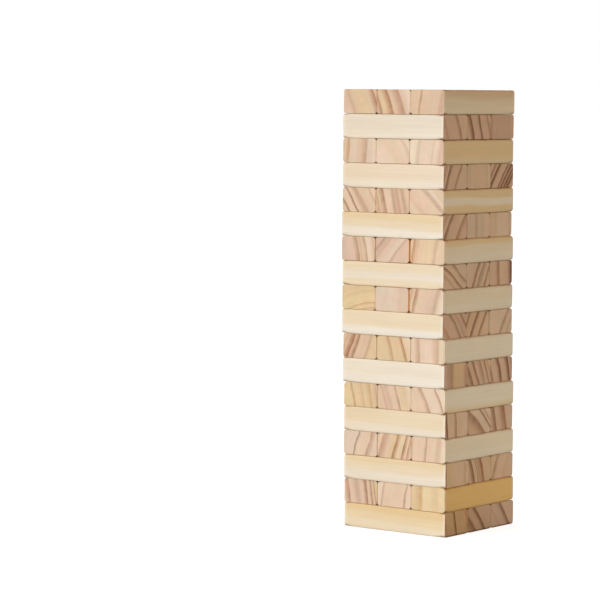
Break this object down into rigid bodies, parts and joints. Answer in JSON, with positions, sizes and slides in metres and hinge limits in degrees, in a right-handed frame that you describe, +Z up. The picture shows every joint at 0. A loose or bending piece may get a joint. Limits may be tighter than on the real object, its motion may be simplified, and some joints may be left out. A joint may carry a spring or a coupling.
{
  "type": "giant tumbling tower",
  "caption": "Stacked outdoor tumbling tower of loose rounded pine blocks in crossed layers; each block slides out along its own length and the top ones lift off.",
  "frame": {"origin": "centre of the underside of the middle block of the bottom layer, on the floor", "axes": "+Z up the tower, +X along the bottom layer's blocks, and -Y towards the front, where the ends of the top layer's blocks show"},
  "size_m": [0.1559, 0.1547, 0.5373],
  "materials": {
    "pine_pale": "pale sanded pine, unfinished, dull, with brown latewood rings on the end grain",
    "pine_straw": "yellow straw-coloured sanded pine, unfinished, dull, with brown latewood rings on the end grain",
    "pine_rosy": "pinkish sanded pine, unfinished, dull, with reddish brown latewood rings on the end grain"
  },
  "bodies": {
    "layer_01_middle": {"layer_01_middle_block": "pine_pale"},
    "layer_01_front": {"layer_01_front_block": "pine_straw"},
    "layer_01_back": {"layer_01_back_block": "pine_straw"},
    "layer_02_left": {"layer_02_left_block": "pine_rosy"},
    "layer_02_middle": {"layer_02_middle_block": "pine_pale"},
    "layer_02_right": {"layer_02_right_block": "pine_straw"},
    "layer_03_front": {"layer_03_front_block": "pine_straw"},
    "layer_03_middle": {"layer_03_middle_block": "pine_pale"},
    "layer_03_back": {"layer_03_back_block": "pine_rosy"},
    "layer_04_left": {"layer_04_left_block": "pine_rosy"},
    "layer_04_middle": {"layer_04_middle_block": "pine_rosy"},
    "layer_04_right": {"layer_04_right_block": "pine_pale"},
    "layer_05_front": {"layer_05_front_block": "pine_pale"},
    "layer_05_middle": {"layer_05_middle_block": "pine_pale"},
    "layer_05_back": {"layer_05_back_block": "pine_straw"},
    "layer_06_left": {"layer_06_left_block": "pine_straw"},
    "layer_06_middle": {"layer_06_middle_block": "pine_rosy"},
    "layer_06_right": {"layer_06_right_block": "pine_rosy"},
    "layer_07_front": {"layer_07_front_block": "pine_pale"},
    "layer_07_middle": {"layer_07_middle_block": "pine_pale"},
    "layer_07_back": {"layer_07_back_block": "pine_rosy"},
    "layer_08_left": {"layer_08_left_block": "pine_rosy"},
    "layer_08_middle": {"layer_08_middle_block": "pine_straw"},
    "layer_08_right": {"layer_08_right_block": "pine_rosy"},
    "layer_09_front": {"layer_09_front_block": "pine_straw"},
    "layer_09_middle": {"layer_09_middle_block": "pine_rosy"},
    "layer_09_back": {"layer_09_back_block": "pine_pale"},
    "layer_10_left": {"layer_10_left_block": "pine_straw"},
    "layer_10_middle": {"layer_10_middle_block": "pine_pale"},
    "layer_10_right": {"layer_10_right_block": "pine_rosy"},
    "layer_11_front": {"layer_11_front_block": "pine_straw"},
    "layer_11_middle": {"layer_11_middle_block": "pine_rosy"},
    "layer_11_back": {"layer_11_back_block": "pine_pale"},
    "layer_12_left": {"layer_12_left_block": "pine_rosy"},
    "layer_12_middle": {"layer_12_middle_block": "pine_rosy"},
    "layer_12_right": {"layer_12_right_block": "pine_straw"},
    "layer_13_front": {"layer_13_front_block": "pine_straw"},
    "layer_13_middle": {"layer_13_middle_block": "pine_pale"},
    "layer_13_back": {"layer_13_back_block": "pine_pale"},
    "layer_14_left": {"layer_14_left_block": "pine_rosy"},
    "layer_14_middle": {"layer_14_middle_block": "pine_rosy"},
    "layer_14_right": {"layer_14_right_block": "pine_pale"},
    "layer_15_front": {"layer_15_front_block": "pine_pale"},
    "layer_15_middle": {"layer_15_middle_block": "pine_pale"},
    "layer_15_back": {"layer_15_back_block": "pine_rosy"},
    "layer_16_left": {"layer_16_left_block": "pine_pale"},
    "layer_16_middle": {"layer_16_middle_block": "pine_pale"},
    "layer_16_right": {"layer_16_right_block": "pine_pale"},
    "layer_17_front": {"layer_17_front_block": "pine_pale"},
    "layer_17_middle": {"layer_17_middle_block": "pine_rosy"},
    "layer_17_back": {"layer_17_back_block": "pine_pale"},
    "layer_18_left": {"layer_18_left_block": "pine_straw"},
    "layer_18_middle": {"layer_18_middle_block": "pine_rosy"},
    "layer_18_right": {"layer_18_right_block": "pine_straw"}
  },
  "joints": [
    {"name": "layer_18_left_lift", "type": "slide", "parent": "layer_01_middle", "child": "layer_18_left", "axis": [0, 0, 1], "range_m": [0, 0.12]},
    {"name": "layer_18_middle_lift", "type": "slide", "parent": "layer_01_middle", "child": "layer_18_middle", "axis": [0, 0, 1], "range_m": [0, 0.12]},
    {"name": "layer_18_right_lift", "type": "slide", "parent": "layer_01_middle", "child": "layer_18_right", "axis": [0, 0, 1], "range_m": [0, 0.12]},
    {"name": "layer_17_front_slide", "type": "slide", "parent": "layer_01_middle", "child": "layer_17_front", "axis": [0.9999, -0.0145, 0], "range_m": [-0.165, 0.165]},
    {"name": "layer_17_middle_slide", "type": "slide", "parent": "layer_01_middle", "child": "layer_17_middle", "axis": [0.9999, -0.0148, 0], "range_m": [-0.165, 0.165]},
    {"name": "layer_17_back_slide", "type": "slide", "parent": "layer_01_middle", "child": "layer_17_back", "axis": [0.9999, -0.0152, 0], "range_m": [-0.165, 0.165]},
    {"name": "layer_16_left_slide", "type": "slide", "parent": "layer_01_middle", "child": "layer_16_left", "axis": [-0.0071, -1, 0], "range_m": [-0.165, 0.165]},
    {"name": "layer_16_middle_slide", "type": "slide", "parent": "layer_01_middle", "child": "layer_16_middle", "axis": [-0.0071, -1, 0], "range_m": [-0.165, 0.165]},
    {"name": "layer_16_right_slide", "type": "slide", "parent": "layer_01_middle", "child": "layer_16_right", "axis": [-0.0077, -1, 0], "range_m": [-0.165, 0.165]},
    {"name": "layer_12_left_slide", "type": "slide", "parent": "layer_01_middle", "child": "layer_12_left", "axis": [0.0041, -1, 0], "range_m": [-0.165, 0.165]},
    {"name": "layer_12_middle_slide", "type": "slide", "parent": "layer_01_middle", "child": "layer_12_middle", "axis": [0.005, -1, 0], "range_m": [-0.165, 0.165]},
    {"name": "layer_12_right_slide", "type": "slide", "parent": "layer_01_middle", "child": "layer_12_right", "axis": [0.0038, -1, 0], "range_m": [-0.165, 0.165]},
    {"name": "layer_11_front_slide", "type": "slide", "parent": "layer_01_middle", "child": "layer_11_front", "axis": [1, 0.0028, 0], "range_m": [-0.165, 0.165]},
    {"name": "layer_11_middle_slide", "type": "slide", "parent": "layer_01_middle", "child": "layer_11_middle", "axis": [1, 0.0017, 0], "range_m": [-0.165, 0.165]},
    {"name": "layer_11_back_slide", "type": "slide", "parent": "layer_01_middle", "child": "layer_11_back", "axis": [1, 0.0024, 0], "range_m": [-0.165, 0.165]},
    {"name": "layer_07_front_slide", "type": "slide", "parent": "layer_01_middle", "child": "layer_07_front", "axis": [1, 0.0077, 0], "range_m": [-0.165, 0.165]},
    {"name": "layer_07_middle_slide", "type": "slide", "parent": "layer_01_middle", "child": "layer_07_middle", "axis": [1, 0.0074, 0], "range_m": [-0.165, 0.165]},
    {"name": "layer_07_back_slide", "type": "slide", "parent": "layer_01_middle", "child": "layer_07_back", "axis": [1, 0.0069, 0], "range_m": [-0.165, 0.165]},
    {"name": "layer_06_left_slide", "type": "slide", "parent": "layer_01_middle", "child": "layer_06_left", "axis": [0.004, -1, 0], "range_m": [-0.165, 0.165]},
    {"name": "layer_06_middle_slide", "type": "slide", "parent": "layer_01_middle", "child": "layer_06_middle", "axis": [0.0037, -1, 0], "range_m": [-0.165, 0.165]},
    {"name": "layer_06_right_slide", "type": "slide", "parent": "layer_01_middle", "child": "layer_06_right", "axis": [0.0037, -1, 0], "range_m": [-0.165, 0.165]},
    {"name": "layer_02_left_slide", "type": "slide", "parent": "layer_01_middle", "child": "layer_02_left", "axis": [0.0012, -1, 0], "range_m": [-0.165, 0.165]},
    {"name": "layer_02_middle_slide", "type": "slide", "parent": "layer_01_middle", "child": "layer_02_middle", "axis": [0.0016, -1, 0], "range_m": [-0.165, 0.165]},
    {"name": "layer_02_right_slide", "type": "slide", "parent": "layer_01_middle", "child": "layer_02_right", "axis": [0.0013, -1, 0], "range_m": [-0.165, 0.165]},
    {"name": "layer_01_front_slide", "type": "slide", "parent": "layer_01_middle", "child": "layer_01_front", "axis": [1, 0.0021, 0], "range_m": [-0.165, 0.165]},
    {"name": "layer_01_back_slide", "type": "slide", "parent": "layer_01_middle", "child": "layer_01_back", "axis": [1, 0.0021, 0], "range_m": [-0.165, 0.165]},
    {"name": "layer_15_front_slide", "type": "slide", "parent": "layer_01_middle", "child": "layer_15_front", "axis": [1, -0.0029, 0], "range_m": [-0.165, 0.165]},
    {"name": "layer_15_middle_slide", "type": "slide", "parent": "layer_01_middle", "child": "layer_15_middle", "axis": [1, -0.0026, 0], "range_m": [-0.165, 0.165]},
    {"name": "layer_15_back_slide", "type": "slide", "parent": "layer_01_middle", "child": "layer_15_back", "axis": [1, -0.002, 0], "range_m": [-0.165, 0.165]},
    {"name": "layer_14_left_slide", "type": "slide", "parent": "layer_01_middle", "child": "layer_14_left", "axis": [-0.0033, -1, 0], "range_m": [-0.165, 0.165]},
    {"name": "layer_14_middle_slide", "type": "slide", "parent": "layer_01_middle", "child": "layer_14_middle", "axis": [-0.0036, -1, 0], "range_m": [-0.165, 0.165]},
    {"name": "layer_14_right_slide", "type": "slide", "parent": "layer_01_middle", "child": "layer_14_right", "axis": [-0.0036, -1, 0], "range_m": [-0.165, 0.165]},
    {"name": "layer_13_front_slide", "type": "slide", "parent": "layer_01_middle", "child": "layer_13_front", "axis": [1, -0.0006, 0], "range_m": [-0.165, 0.165]},
    {"name": "layer_13_middle_slide", "type": "slide", "parent": "layer_01_middle", "child": "layer_13_middle", "axis": [1, -0.0002, 0], "range_m": [-0.165, 0.165]},
    {"name": "layer_13_back_slide", "type": "slide", "parent": "layer_01_middle", "child": "layer_13_back", "axis": [1, -0.0006, 0], "range_m": [-0.165, 0.165]},
    {"name": "layer_10_left_slide", "type": "slide", "parent": "layer_01_middle", "child": "layer_10_left", "axis": [-0.0033, -1, 0], "range_m": [-0.165, 0.165]},
    {"name": "layer_10_middle_slide", "type": "slide", "parent": "layer_01_middle", "child": "layer_10_middle", "axis": [-0.0036, -1, 0], "range_m": [-0.165, 0.165]},
    {"name": "layer_10_right_slide", "type": "slide", "parent": "layer_01_middle", "child": "layer_10_right", "axis": [-0.0033, -1, 0], "range_m": [-0.165, 0.165]},
    {"name": "layer_09_front_slide", "type": "slide", "parent": "layer_01_middle", "child": "layer_09_front", "axis": [1, -0.003, 0], "range_m": [-0.165, 0.165]},
    {"name": "layer_09_middle_slide", "type": "slide", "parent": "layer_01_middle", "child": "layer_09_middle", "axis": [1, -0.0028, 0], "range_m": [-0.165, 0.165]},
    {"name": "layer_09_back_slide", "type": "slide", "parent": "layer_01_middle", "child": "layer_09_back", "axis": [1, -0.0025, 0], "range_m": [-0.165, 0.165]},
    {"name": "layer_08_left_slide", "type": "slide", "parent": "layer_01_middle", "child": "layer_08_left", "axis": [0.0078, -1, 0], "range_m": [-0.165, 0.165]},
    {"name": "layer_08_middle_slide", "type": "slide", "parent": "layer_01_middle", "child": "layer_08_middle", "axis": [0.0072, -1, 0], "range_m": [-0.165, 0.165]},
    {"name": "layer_08_right_slide", "type": "slide", "parent": "layer_01_middle", "child": "layer_08_right", "axis": [0.0076, -1, 0], "range_m": [-0.165, 0.165]},
    {"name": "layer_05_front_slide", "type": "slide", "parent": "layer_01_middle", "child": "layer_05_front", "axis": [0.9999, 0.011, 0], "range_m": [-0.165, 0.165]},
    {"name": "layer_05_middle_slide", "type": "slide", "parent": "layer_01_middle", "child": "layer_05_middle", "axis": [0.9999, 0.0106, 0], "range_m": [-0.165, 0.165]},
    {"name": "layer_05_back_slide", "type": "slide", "parent": "layer_01_middle", "child": "layer_05_back", "axis": [0.9999, 0.0105, 0], "range_m": [-0.165, 0.165]},
    {"name": "layer_04_left_slide", "type": "slide", "parent": "layer_01_middle", "child": "layer_04_left", "axis": [0.0082, -1, 0], "range_m": [-0.165, 0.165]},
    {"name": "layer_04_middle_slide", "type": "slide", "parent": "layer_01_middle", "child": "layer_04_middle", "axis": [0.0076, -1, 0], "range_m": [-0.165, 0.165]},
    {"name": "layer_04_right_slide", "type": "slide", "parent": "layer_01_middle", "child": "layer_04_right", "axis": [0.0075, -1, 0], "range_m": [-0.165, 0.165]},
    {"name": "layer_03_front_slide", "type": "slide", "parent": "layer_01_middle", "child": "layer_03_front", "axis": [0.9999, 0.0103, 0], "range_m": [-0.165, 0.165]},
    {"name": "layer_03_middle_slide", "type": "slide", "parent": "layer_01_middle", "child": "layer_03_middle", "axis": [0.9999, 0.0107, 0], "range_m": [-0.165, 0.165]},
    {"name": "layer_03_back_slide", "type": "slide", "parent": "layer_01_middle", "child": "layer_03_back", "axis": [0.9999, 0.0107, 0], "range_m": [-0.165, 0.165]}
  ]
}
